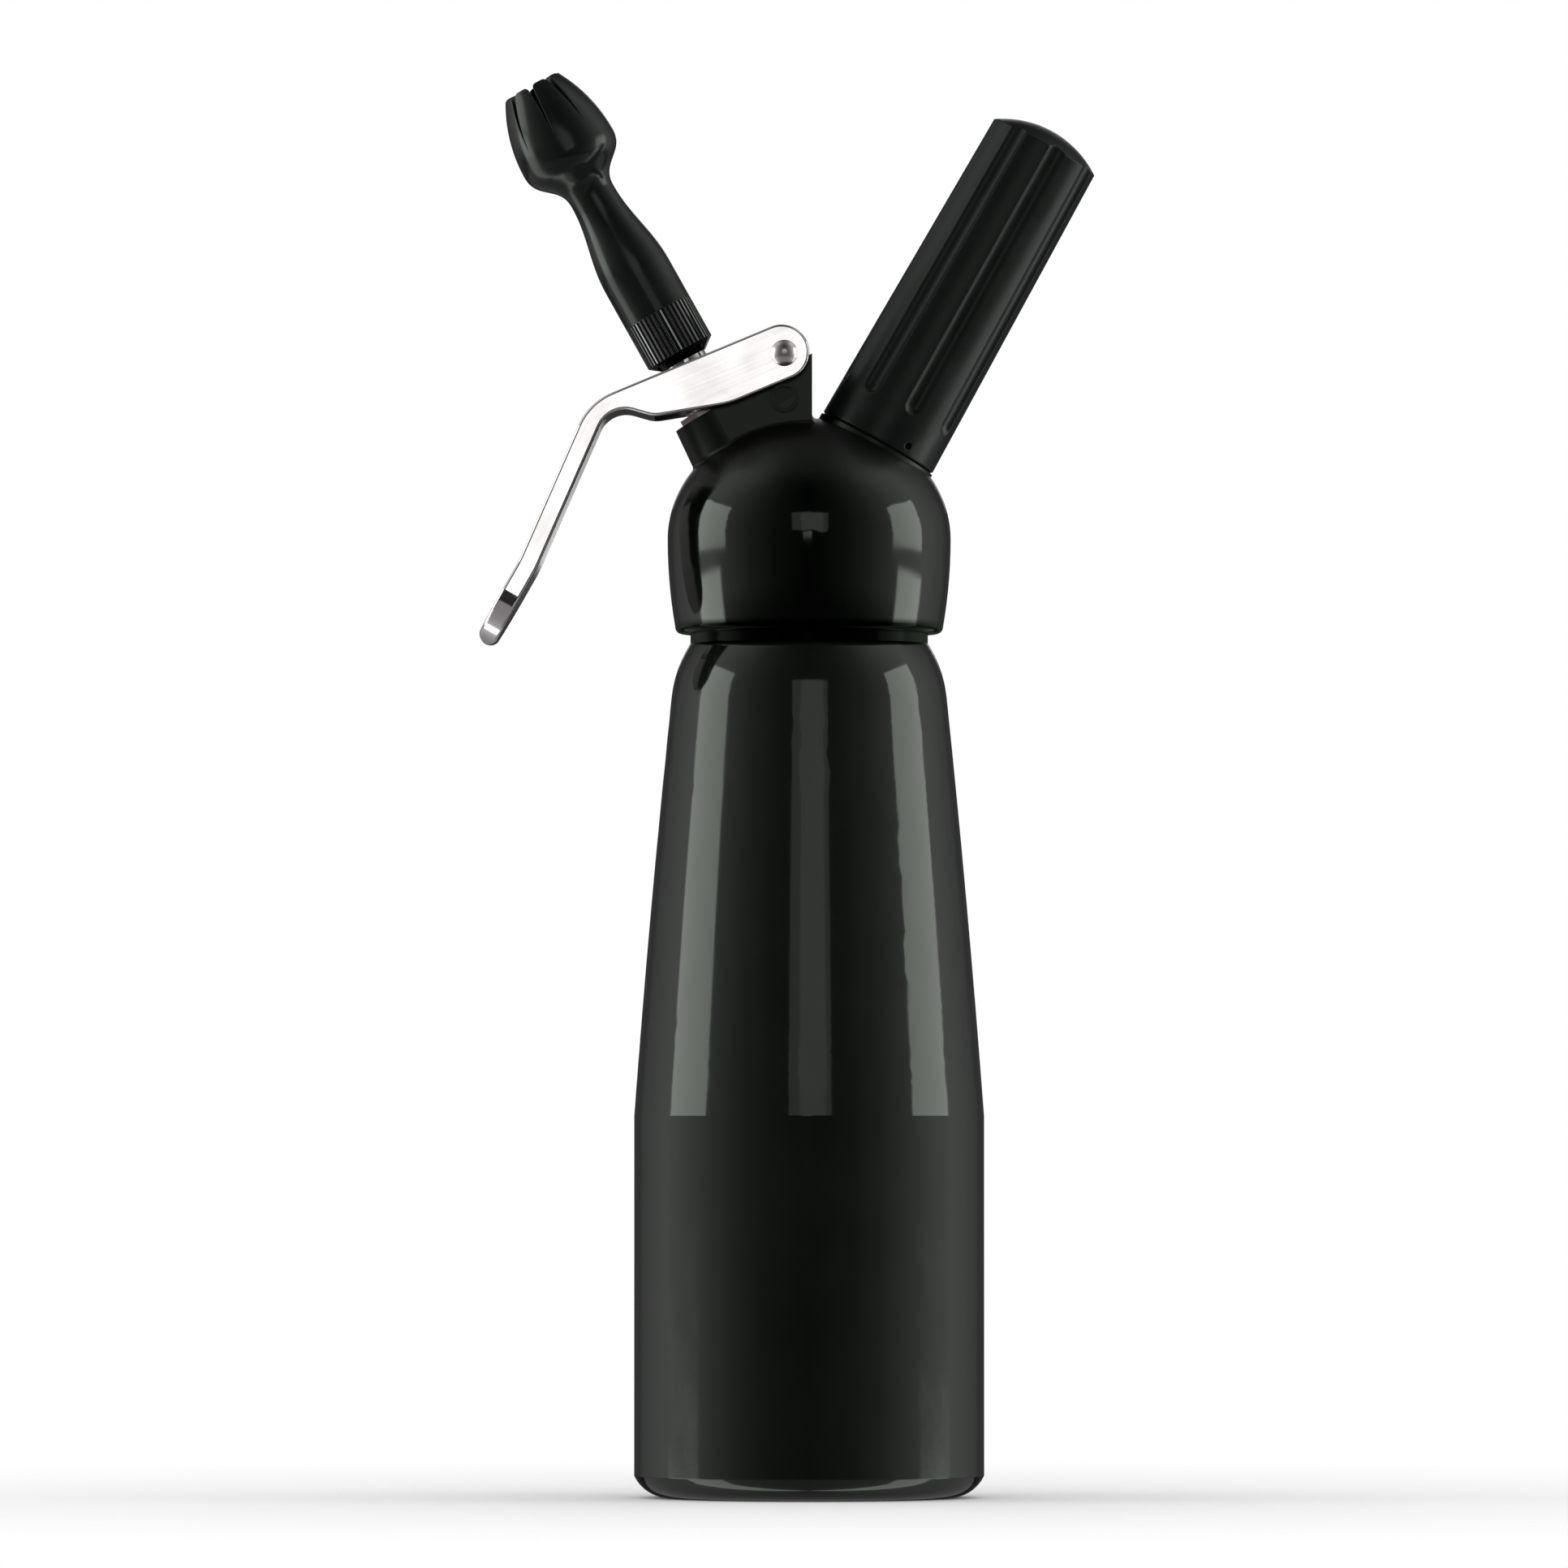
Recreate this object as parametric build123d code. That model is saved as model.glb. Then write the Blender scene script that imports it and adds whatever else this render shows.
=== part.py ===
"""A half-litre cream whipper: bottle, screw-on head, lever valve, tulip nozzle, gas inlet and charger holder.

Millimetres, +Z up. The origin is the centre of the flat base. The nozzle and the lever lean towards -X and
the charger holder towards +X. Heights on the two leaning axes are measured from where each crosses the
bottle's axis.
"""
from build123d import *
import math
import os

# Clearances
RUNNING_CLEARANCE = 0.05
SEAT_GAP = 0.05
COVER_GAP = 0.3
THREAD_CLEARANCE = 0.25
GROOVE_LEAD = 2
GROOVE_RUNOUT = 0.5

# Bottle
BODY_RADIUS = 39.0
BODY_HEIGHT = 85.0
BASE_EDGE_INSET = 7.7
BASE_EDGE_HEIGHT = 4.9
BASE_THICKNESS = 2.5
BOTTLE_WALL = 1.8
TAPER_HEIGHT = 93.3
TAPER_BOW = 0.35
SHOULDER_STEP = 4.2
SHOULDER_HEIGHT = 12.0
NECK_RADIUS = 24.8
NECK_WALL = 2.3
NECK_HEIGHT = 17.0
NECK_COLLAR_STEP = 1.7
NECK_COLLAR_HEIGHT = 3.4
NECK_PITCH = 4.0
NECK_THREAD_TURNS = 2.25
NECK_THREAD_START = 2.0
NECK_RIDGE_RADIUS = 1.0
NECK_RIDGE_SINK = 0.6

# Head
HEAD_GAP = 2.2
HEAD_RIM_WALL = 3.1
HEAD_RIM_FILLET = 1.5
HEAD_FLARE = 1.7
DOME_HEIGHT = 27.0
LEDGE_TO_WIDEST = 3.7
GASKET_THICKNESS = 2.5
LEDGE_WIDTH = 2.0
CAVITY_HEIGHT = 7.0

# Valve axis and boss
NOZZLE_LEAN = 29.2
VALVE_AXIS_DROP = 6.1
VALVE_SEAT_RISE = 21.4
BOSS_TOP_RISE = 44.05
BOSS_RADIUS = 9.4
BOSS_DRAFT = 4.0
BOSS_DEPTH = 20.0
LUG_REAR = 6.2
LUG_FILLET = 1.0
BUTTON_RADIUS = 3.3
BUTTON_DROP = 9.8
BUTTON_HEIGHT = 0.35
BUTTON_DIMPLE_RADIUS = 2.4
BUTTON_DIMPLE_DEPTH = 0.3

# Valve
STEM_RADIUS = 4.0
STEM_BORE = 2.5
STEM_FLOOR = 1.5
PASSAGE = 1.0
PORT_RADIUS = 1.3
PORT_RISE = 3.2
STUD_RADIUS = 2.2
STUD_TAIL = 1.0
DISC_THICKNESS = 2.4
DISC_SEAL_THICKNESS = 1.8
SEAT_WIDTH = 1.5
POCKET_GAP = 2.0
POCKET_DEPTH = 13.0
GLAND_RADIUS = 6.0
GLAND_LENGTH = 12.9
GLAND_HEAD_HEIGHT = 1.4
GLAND_FLATS = 13.0
BUSH_WALL = 0.85
FLANGE_RADIUS = 7.0
FLANGE_THICKNESS = 1.2
SHOULDER_RADIUS = 5.0
SPRING_WIRE = 0.9
SPRING_RADIUS = 5.3
SPRING_TURNS = 2.5

# Lever
PIVOT_REACH = 19.9
PIVOT_RISE = 2.92
FORK_SLOPE = 22.6
FORK_RISE = 6.6
FORK_DROP = 5.8
FORK_END = 5.7
FORK_GAP = 1.0
CHEEK = 2.2
WEB = 1.75
WEB_REAR = 0.6
CHANNEL_LENGTH = 32.0
CHANNEL_CORNER = 4.0
HEEL_ALONG = 15.5
HEEL_ROUND = 20.0
BELLY_BACK = 12.2
BELLY_DROP = 1.85
BELLY_ROUND = 7.0
BEND_ALONG = 44.4
BEND_TURN = 43.7
BEND_ROUND = 14.0
CREST_BACK = 1.6
CREST_ROUND = 6.2
HANDLE_LENGTH = 38.6
HANDLE_THICKNESS = 4.4
TIP_TURN = 6.2
TIP_LENGTH = 19.5
TIP_ROUND = 30.0
TIP_NOSE_INSET = 0.15
LEVER_EDGE = 0.6
LEVER_PLAY = 0.06
SLOT_TRAVEL = 2.2
PIN_RADIUS = 2.0
PIN_HEAD_RADIUS = 2.95
PIN_HEAD_HEIGHT = 1.4

# Nozzle
COLLAR_GAP = 0.45
COLLAR_RADIUS = 8.05
COLLAR_HEIGHT = 12.1
COLLAR_FACE_RADIUS = 5.35
COLLAR_CHAMFER_HEIGHT = 2.1
KNURL_COUNT = 44
KNURL_RADIUS = 0.42
KNURL_DEPTH = 0.28
NOZZLE_PITCH = 1.5
NOZZLE_THREAD_CORE = 3.6
NOZZLE_THREAD_LENGTH = 7.2
NOZZLE_THREAD_TURNS = 3.4
NOZZLE_THREAD_START = 1.0
NOZZLE_RIDGE_RADIUS = 0.4
NOZZLE_THREAD_CLEARANCE = 0.15
NOZZLE_SEAL_THICKNESS = 1.2
NOZZLE_SEAL_RADIUS = 5.3
SOCKET_RADIUS = 6.3
TIP_STRAIGHT = 9.4
TIP_TAPER = 20.7
TIP_NECK_RADIUS = 5.3
TIP_BELLY_RISE = 10.8
TIP_BELLY_RADIUS = 11.3
TIP_PETAL_LENGTH = 17.0
TIP_MOUTH_RADIUS = 6.7
TIP_WALL = 1.9
TIP_BORE = 3.6
PETAL_COUNT = 9
PETAL_SLOT_LENGTH = 12.7
PETAL_SLOT_WIDTH = 1.2
PETAL_ROUND = 0.9
PETAL_FIRST_ANGLE = -4.6

# Gas inlet
HOLDER_LEAN = 29.4
GAS_AXIS_DROP = 1.9
GAS_SEAT_RISE = 30.8
GAS_SEAT_LIP = 0.2
GAS_BOSS_DEPTH = 16.0
SPIGOT_RADIUS = 9.9
SPIGOT_HEIGHT = 16.2
SPIGOT_PITCH = 2.5
SPIGOT_THREAD_TURNS = 4.5
SPIGOT_THREAD_START = 2.3
SPIGOT_RIDGE_RADIUS = 0.65
SPIGOT_RIDGE_SINK = 0.45
SHANK_RADIUS = 6.5
SHANK_LENGTH = 13.8
NOSE_RADIUS = 3.4
NOSE_LENGTH = 6.5
NOSE_LIP = 0.5
GAS_BORE = 1.2
GAS_PORT_RADIUS = 0.8
GAS_POCKET_RADIUS = 7.5
SLEEVE_WALL = 1.0
ADAPTER_RING_WIRE = 0.85
PIN_BASE_RADIUS = 3.2
PIN_BASE_LENGTH = 7.4
PIN_LIP = 1.2
NEEDLE_RADIUS = 1.1
NEEDLE_LENGTH = 4.0
NEEDLE_POINT = 1.2
NEEDLE_BORE = 0.55
CHARGER_GASKET_THICKNESS = 1.9

# Charger and its holder
CHARGER_RADIUS = 9.0
CHARGER_LENGTH = 66.0
CHARGER_NECK_RADIUS = 4.5
CHARGER_NECK_LENGTH = 8.0
CHARGER_SHOULDER = 9.0
CHARGER_END_ROUND = 6.5
CHARGER_WALL = 1.5
CHARGER_PLAY = 0.4
PIERCING_PLAY = 0.4
NECK_PLAY = 0.5
HOLDER_FOOT_RADIUS = 13.95
HOLDER_TOP_RADIUS = 12.85
HOLDER_END_WALL = 3.2
HOLDER_CROWN = 4.0
HOLDER_FOOT_EDGE = 0.6
FLUTE_COUNT = 8
FLUTE_WIDTH = 4.4
FLUTE_DEPTH = 1.0
FLUTE_START = 8.7
FLUTE_FIRST_ANGLE = 14.0
VENT_COUNT = 3
VENT_RADIUS = 0.8
VENT_RISE = 2.4
VENT_FIRST_ANGLE = 28.0

# Past every surface that a cut has to clear
BEYOND = 5.0

UPRIGHT = (Align.CENTER, Align.CENTER, Align.MIN)


def rod(radius, bottom, top):
    return Pos(0, 0, bottom) * Cylinder(radius, top - bottom, align=UPRIGHT)


def tube(outer, inner, bottom, top):
    return rod(outer, bottom, top) - rod(inner, bottom - BEYOND, top + BEYOND)


def turned(outline):
    """A solid of revolution about Z from a closed outline drawn as (radius, height)."""
    return revolve(Plane.XZ * make_face(outline), Axis.Z)


def o_ring(inner, outer, middle):
    return Pos(0, 0, middle) * Torus((inner + outer) / 2, (outer - inner) / 2)


def helix_path(radius, pitch, turns):
    """A helix about Z from height 0, drawn as two tangent arcs to each quarter turn."""
    quarters = round(4 * turns)
    rise = pitch * turns / quarters
    step = 2 * math.pi * turns / quarters
    slope = rise / (radius * step)

    def place(i):
        return Vector(radius * math.cos(i * step), radius * math.sin(i * step), i * rise)

    def heading(i):
        return Vector(-math.sin(i * step), math.cos(i * step), slope).normalized()

    arcs = []
    for i in range(quarters):
        start, end = place(i), place(i + 1)
        leave, arrive = heading(i), heading(i + 1)
        chord = end - start
        along = chord.dot(leave + arrive)
        bend = 2 * (1 - leave.dot(arrive))
        reach = (math.sqrt(along**2 + bend * chord.dot(chord)) - along) / bend
        middle = (start + leave * reach + end - arrive * reach) / 2
        first = Edge.make_tangent_arc(start, leave, middle)
        arcs += [first, Edge.make_tangent_arc(middle, first % 1, end)]
    return Wire(arcs)


def coil(radius, wire_radius, pitch, turns, bottom):
    """A round wire wound about Z, its first turn centred at the given height."""
    path = helix_path(radius, pitch, turns)
    section = Plane(origin=path @ 0, z_dir=path % 0) * Circle(wire_radius)
    return Pos(0, 0, bottom) * sweep(section, path=path)


def groove(radius, groove_radius, pitch, turns, bottom):
    """A thread groove for a wound ridge, begun some turns below it and run out past its upper end."""
    all_turns = GROOVE_LEAD + turns + GROOVE_RUNOUT
    return coil(radius, groove_radius, pitch, all_turns, bottom - GROOVE_LEAD * pitch)


def leaning(height, lean):
    """The frame of an axis that crosses the bottle's axis at a height and leans towards +X."""
    angle = math.radians(lean)
    return Plane(
        origin=(0, 0, height),
        x_dir=(math.cos(angle), 0, -math.sin(angle)),
        z_dir=(math.sin(angle), 0, math.cos(angle)),
    )


# Heights on the bottle's axis
taper_top = BODY_HEIGHT + TAPER_HEIGHT
shoulder_top = taper_top + SHOULDER_HEIGHT
neck_top = shoulder_top + NECK_HEIGHT
head_base = shoulder_top + HEAD_GAP
ledge = neck_top + SEAT_GAP + GASKET_THICKNESS + SEAT_GAP
widest = ledge + LEDGE_TO_WIDEST

# Radii about the bottle's axis
collar_radius = NECK_RADIUS + NECK_COLLAR_STEP
taper_radius = collar_radius + SHOULDER_STEP
mouth_radius = NECK_RADIUS - NECK_WALL
neck_ridge = NECK_RADIUS + NECK_RIDGE_RADIUS - NECK_RIDGE_SINK
head_bore = NECK_RADIUS + THREAD_CLEARANCE
head_mouth = collar_radius + COVER_GAP
rim_radius = head_mouth + HEAD_RIM_WALL
head_radius = rim_radius + HEAD_FLARE
cavity_radius = mouth_radius - LEDGE_WIDTH

# The two leaning axes
valve = leaning(ledge - VALVE_AXIS_DROP, -NOZZLE_LEAN)
gas = leaning(ledge - GAS_AXIS_DROP, HOLDER_LEAN)

# The lever's own side view: along it from the pivot to the bend, and up from it
slope = math.radians(FORK_SLOPE)
pivot = valve.from_local_coords(Vector(PIVOT_REACH, 0, BOSS_TOP_RISE + PIVOT_RISE))
lever_side = Plane(origin=pivot, x_dir=(-math.cos(slope), 0, -math.sin(slope)), z_dir=(0, 1, 0))
lever_plan = Plane(origin=pivot, x_dir=lever_side.x_dir, z_dir=lever_side.y_dir)

# The lever's bend, where its handle starts to flare, and which way each runs
handle_way = Vector(1, 0).rotate(Axis.Z, -BEND_TURN)
tip_way = Vector(1, 0).rotate(Axis.Z, TIP_TURN - BEND_TURN)
bend = Vector(BEND_ALONG, FORK_RISE)
knee = bend + handle_way * HANDLE_LENGTH
tip_end = knee + tip_way * TIP_LENGTH
tip_under = tip_way.rotate(Axis.Z, -90) * HANDLE_THICKNESS

# Where the stem's axis passes through the lever's web
tilt = math.radians(NOZZLE_LEAN - FORK_SLOPE)
web_under = FORK_RISE - WEB
web_bottom_rise = (
    BOSS_TOP_RISE + PIVOT_RISE + web_under / math.cos(tilt) + PIVOT_REACH * math.tan(tilt)
)
web_top_rise = web_bottom_rise + WEB / math.cos(tilt)
slot_half_width = SHOULDER_RADIUS + COVER_GAP
cheek_inside = BOSS_RADIUS + FORK_GAP
cheek_outside = cheek_inside + CHEEK

# Heights on the valve axis
passage_radius = STEM_RADIUS + PASSAGE
gland_bottom = BOSS_TOP_RISE - GLAND_LENGTH
gland_top = BOSS_TOP_RISE + GLAND_HEAD_HEIGHT
ring_space = GLAND_RADIUS - STEM_RADIUS
bush_radius = STEM_RADIUS + RUNNING_CLEARANCE + BUSH_WALL
flange_top = web_bottom_rise - FLANGE_RADIUS * math.tan(tilt) - LEVER_PLAY
flange_bottom = flange_top - FLANGE_THICKNESS
collar_bottom = web_top_rise + COLLAR_FACE_RADIUS * math.tan(tilt) + COLLAR_GAP
collar_top = collar_bottom + COLLAR_HEIGHT
stem_top = collar_bottom + NOZZLE_THREAD_LENGTH
nozzle_seal_bottom = stem_top + SEAT_GAP
nozzle_seal_top = nozzle_seal_bottom + NOZZLE_SEAL_THICKNESS
tip_bottom = nozzle_seal_top + SEAT_GAP
disc_seal_top = VALVE_SEAT_RISE - SEAT_GAP
disc_seal_bottom = disc_seal_top - DISC_SEAL_THICKNESS
disc_bottom = disc_seal_bottom - DISC_THICKNESS
disc_radius = passage_radius + SEAT_WIDTH
nozzle_thread = collar_bottom + NOZZLE_THREAD_START

# Heights on the gas axis
seat_radius = HOLDER_FOOT_RADIUS + GAS_SEAT_LIP
shank_bottom = GAS_SEAT_RISE - SHANK_LENGTH
nose_bottom = shank_bottom - NOSE_LENGTH
spigot_top = GAS_SEAT_RISE + SPIGOT_HEIGHT
spigot_ridge = SPIGOT_RADIUS + SPIGOT_RIDGE_RADIUS - SPIGOT_RIDGE_SINK
spigot_thread = GAS_SEAT_RISE + SPIGOT_THREAD_START
socket_radius = CHARGER_NECK_RADIUS + NECK_PLAY
pin_base_bottom = GAS_SEAT_RISE + PIN_LIP
pin_base_top = pin_base_bottom + PIN_BASE_LENGTH
needle_top = pin_base_top + NEEDLE_LENGTH
charger_tip = pin_base_top + CHARGER_GASKET_THICKNESS + SEAT_GAP
charger_end = charger_tip + CHARGER_LENGTH
holder_foot = GAS_SEAT_RISE + SEAT_GAP
holder_inside = charger_end + CHARGER_PLAY
holder_apex = holder_inside + HOLDER_END_WALL
holder_edge = holder_apex - HOLDER_CROWN


def bottle_outline(inset, floor):
    """One side of the bottle's wall up to the shoulder, moved inwards, from the axis outwards and up."""
    edge = Vector(BODY_RADIUS - inset, BASE_EDGE_HEIGHT + floor)
    flat = Vector(BODY_RADIUS - BASE_EDGE_INSET, floor)
    taper_start = Vector(BODY_RADIUS - inset, BODY_HEIGHT)
    taper_end = Vector(taper_radius - inset, taper_top)
    bow = Vector(TAPER_BOW, 0)
    return [
        Line((0, floor), flat),
        TangentArc(flat, edge, tangent=(1, 0)),
        Line(edge, taper_start),
        ThreePointArc(taper_start, (taper_start + taper_end) / 2 + bow, taper_end),
    ]


def make_bottle():
    outside = bottle_outline(0, 0)
    shoulder = TangentArc(outside[-1] @ 1, (collar_radius, shoulder_top), tangent=outside[-1] % 1)
    step = shoulder_top + NECK_COLLAR_HEIGHT
    neck = Polyline(
        shoulder @ 1,
        (collar_radius, step),
        (NECK_RADIUS, step),
        (NECK_RADIUS, neck_top),
        (0, neck_top),
        (0, 0),
    )
    body = turned(Curve() + outside + shoulder + neck)
    inside = bottle_outline(BOTTLE_WALL, BASE_THICKNESS)
    mouth = Polyline(
        inside[-1] @ 1,
        (mouth_radius, shoulder_top),
        (mouth_radius, neck_top + BEYOND),
        (0, neck_top + BEYOND),
        (0, BASE_THICKNESS),
    )
    thread = coil(neck_ridge, NECK_RIDGE_RADIUS, NECK_PITCH, NECK_THREAD_TURNS, step + NECK_THREAD_START)
    return body - turned(Curve() + inside + mouth) + thread


def make_head_gasket():
    bottom = neck_top + SEAT_GAP
    return tube(NECK_RADIUS, mouth_radius, bottom, bottom + GASKET_THICKNESS)


def make_dome():
    rim_side = Vector(rim_radius, head_base + HEAD_RIM_FILLET)
    rim_under = Vector(rim_radius - HEAD_RIM_FILLET, head_base)
    outline = Curve() + [
        Line((0, head_base), rim_under),
        TangentArc(rim_under, rim_side, tangent=(1, 0)),
        TangentArc((head_radius, widest), rim_side, tangent=(0, -1)),
        EllipticalCenterArc((0, widest), head_radius, DOME_HEIGHT, arc_size=90),
        Line((0, widest + DOME_HEIGHT), (0, head_base)),
    ]
    return turned(outline)


def make_lug():
    """The drafted block that holds the valve and the lever's pivot, with an ear round the pivot."""
    rear = pivot.X + LUG_REAR
    length = PIVOT_REACH + LUG_REAR + BEYOND
    footprint = Circle(BOSS_RADIUS) + Pos(length / 2, 0) * Rectangle(length, 2 * BOSS_RADIUS)
    boss_top = valve.offset(BOSS_TOP_RISE)
    block = extrude(boss_top * footprint, -BOSS_DEPTH, taper=-BOSS_DRAFT)
    ear_radius = web_under - COVER_GAP
    ear_root = Line((PIVOT_REACH - ear_radius, 0), (PIVOT_REACH + ear_radius, 0))
    ear_top = Pos(PIVOT_REACH, PIVOT_RISE) * Circle(ear_radius)
    ear_face = make_hull(ear_top.edges() + ear_root.edges())
    ear_plane = Plane(origin=boss_top.origin, x_dir=boss_top.x_dir, z_dir=(0, -1, 0))
    ear = extrude(ear_plane * ear_face, BOSS_RADIUS, both=True)
    behind = Plane(origin=(rear, 0, 0), z_dir=(1, 0, 0))
    return split(block + ear, bisect_by=behind, keep=Keep.BOTTOM)


def make_head():
    dome = make_dome()
    lug = make_lug()
    casting = dome + lug
    casting = fillet(new_edges(dome, lug, combined=casting), LUG_FILLET)
    casting += gas * rod(seat_radius, GAS_SEAT_RISE - GAS_BOSS_DEPTH, GAS_SEAT_RISE)
    casting -= gas * rod(seat_radius + COVER_GAP, GAS_SEAT_RISE, GAS_SEAT_RISE + DOME_HEIGHT)
    casting += make_buttons()
    casting -= lever_side * Cylinder(PIN_RADIUS + RUNNING_CLEARANCE, 4 * BOSS_RADIUS)
    return casting - make_head_cuts()


def make_buttons():
    """The low round pads on both sides of the lug, under the pivot, each with a dimple."""
    centre = pivot - Vector(0, 0, BUTTON_DROP)
    depth = BOSS_TOP_RISE - valve.to_local_coords(centre).Z
    face = BOSS_RADIUS + depth * math.tan(math.radians(BOSS_DRAFT)) + BUTTON_HEIGHT
    across = Plane(origin=centre, z_dir=(0, 1, 0))
    pad = Cylinder(BUTTON_RADIUS, 2 * face)
    for end in (face, -face):
        pad -= Pos(0, 0, end) * Cylinder(BUTTON_DIMPLE_RADIUS, 2 * BUTTON_DIMPLE_DEPTH)
    return across * pad


def make_head_cuts():
    """All that is hollow in the head: threaded mouth, cavity, and the valve's and adapter's bores."""
    thread_bottom = shoulder_top + NECK_COLLAR_HEIGHT + NECK_THREAD_START
    mouth_top = shoulder_top + NECK_COLLAR_HEIGHT + COVER_GAP
    ring_height = 2 * ADAPTER_RING_WIRE
    cuts = rod(head_bore, head_base - BEYOND, ledge)
    cuts += rod(head_mouth, head_base - BEYOND, mouth_top)
    cuts += rod(cavity_radius, ledge - BEYOND, ledge + CAVITY_HEIGHT)
    cuts += valve * rod(disc_radius + POCKET_GAP, VALVE_SEAT_RISE - POCKET_DEPTH, VALVE_SEAT_RISE)
    cuts += valve * rod(passage_radius, VALVE_SEAT_RISE - BEYOND, gland_bottom)
    cuts += valve * rod(GLAND_RADIUS, gland_bottom - ring_space, BOSS_TOP_RISE + BEYOND)
    cuts += gas * rod(GAS_POCKET_RADIUS, shank_bottom - POCKET_DEPTH, shank_bottom)
    cuts += gas * rod(SHANK_RADIUS, shank_bottom - BEYOND, GAS_SEAT_RISE + BEYOND)
    cuts += gas * rod(SHANK_RADIUS + ring_height, GAS_SEAT_RISE - ring_height, GAS_SEAT_RISE + BEYOND)
    groove_radius = NECK_RIDGE_RADIUS + THREAD_CLEARANCE
    return cuts + groove(neck_ridge, groove_radius, NECK_PITCH, NECK_THREAD_TURNS, thread_bottom)


def make_valve_gland():
    hexagon = RegularPolygon(GLAND_FLATS / 2, 6, major_radius=False)
    nut = Pos(0, 0, BOSS_TOP_RISE) * extrude(hexagon, GLAND_HEAD_HEIGHT)
    nut += rod(GLAND_RADIUS, gland_bottom, BOSS_TOP_RISE)
    return valve * (nut - rod(bush_radius, gland_bottom - BEYOND, gland_top + BEYOND))


def make_valve_bush():
    return valve * tube(bush_radius, STEM_RADIUS + RUNNING_CLEARANCE, gland_bottom, gland_top)


def make_stem_o_ring():
    return valve * o_ring(STEM_RADIUS + RUNNING_CLEARANCE, GLAND_RADIUS, gland_bottom - ring_space / 2)


def make_valve_spring():
    bottom = gland_top + SEAT_GAP + SPRING_WIRE / 2
    top = flange_bottom - SEAT_GAP - SPRING_WIRE / 2
    pitch = (top - bottom) / SPRING_TURNS
    print_coil_gap("valve_spring", SPRING_RADIUS, SPRING_WIRE, pitch, SPRING_TURNS)
    return valve * coil(SPRING_RADIUS, SPRING_WIRE / 2, pitch, SPRING_TURNS, bottom)


def print_coil_gap(name, radius, wire, pitch, turns):
    """Measure on points how close the wire comes to itself, a half turn or more further along."""
    path = helix_path(radius, pitch, turns)
    per_turn = 24
    count = round(per_turn * turns)
    points = [path @ (i / count) for i in range(count + 1)]
    gap = min(
        (points[i] - points[j]).length for i in range(count + 1) for j in range(i + per_turn // 2, count + 1)
    )
    print(f"{name}: least gap to itself {gap - wire:.2f} mm")


def make_valve_stem():
    shoulder_end = collar_bottom - SEAT_GAP
    stem = rod(STEM_RADIUS, disc_seal_top, flange_bottom)
    stem += rod(FLANGE_RADIUS, flange_bottom, flange_top)
    stem += rod(SHOULDER_RADIUS, flange_top, shoulder_end)
    stem += rod(NOZZLE_THREAD_CORE, shoulder_end, stem_top)
    stem += coil(NOZZLE_THREAD_CORE, NOZZLE_RIDGE_RADIUS, NOZZLE_PITCH, NOZZLE_THREAD_TURNS, nozzle_thread)
    stem += rod(STUD_RADIUS, disc_bottom - STUD_TAIL, disc_seal_top)
    stem -= rod(STEM_BORE, disc_seal_top + STEM_FLOOR, stem_top + BEYOND)
    port = Rot(90, 0, 0) * Cylinder(PORT_RADIUS, 4 * STEM_RADIUS)
    for angle in (0, 90):
        stem -= Pos(0, 0, disc_seal_top + PORT_RISE) * Rot(0, 0, angle) * port
    return valve * stem


def make_valve_disc():
    return valve * tube(disc_radius, STUD_RADIUS, disc_bottom, disc_seal_bottom)


def make_valve_disc_seal():
    return valve * tube(disc_radius, STUD_RADIUS, disc_seal_bottom, disc_seal_top)


def make_lever():
    lever = extrude(lever_side * lever_side_face(), cheek_outside, both=True) - make_tip_cut()
    lever = fillet(lever.edges(), LEVER_EDGE) - make_tip_nose()
    lever -= extrude(lever_side * channel_face(), cheek_inside, both=True)
    web_middle = FORK_RISE - WEB / 2
    slot_along = PIVOT_REACH / math.cos(tilt) + web_middle * math.tan(tilt)
    slot = Pos(slot_along, 0) * SlotCenterToCenter(2 * SLOT_TRAVEL, 2 * slot_half_width)
    lever -= extrude(lever_plan * slot, FORK_RISE + BEYOND, both=True)
    return lever - lever_side * Cylinder(PIN_RADIUS, 4 * cheek_outside)


def lever_side_face():
    """The lever from the side: round at the pivot, with a heel, a belly, a bend and a handle that flares."""
    under = handle_way.rotate(Axis.Z, -90) * HANDLE_THICKNESS
    past_end = tip_end + tip_way * BEYOND
    crest = bend + under - handle_way * CREST_BACK
    belly = Vector(BEND_ALONG - BELLY_BACK, -BELLY_DROP)
    heel = Vector(HEEL_ALONG, -FORK_DROP)
    end_radius = (FORK_RISE + FORK_DROP) / 2
    top = Vector(end_radius - FORK_END, FORK_RISE)
    bottom = Vector(end_radius - FORK_END, -FORK_DROP)
    rear = Vector(-FORK_END, (FORK_RISE - FORK_DROP) / 2)
    edge = Polyline(
        top, bend, knee, past_end, past_end + tip_under, knee + under, crest, belly, heel, bottom
    )
    face = make_face(Curve() + [edge, ThreePointArc(bottom, rear, top)])
    rounds = (
        (bend, BEND_ROUND),
        (knee, TIP_ROUND),
        (knee + under, TIP_ROUND),
        (crest, CREST_ROUND),
        (belly, BELLY_ROUND),
        (heel, HEEL_ROUND),
    )
    for corner, radius in rounds:
        face = fillet(face.vertices().sort_by_distance(corner)[0], radius)
    return face


def tip_direction():
    return lever_side.from_local_coords(tip_way) - lever_side.origin


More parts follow.
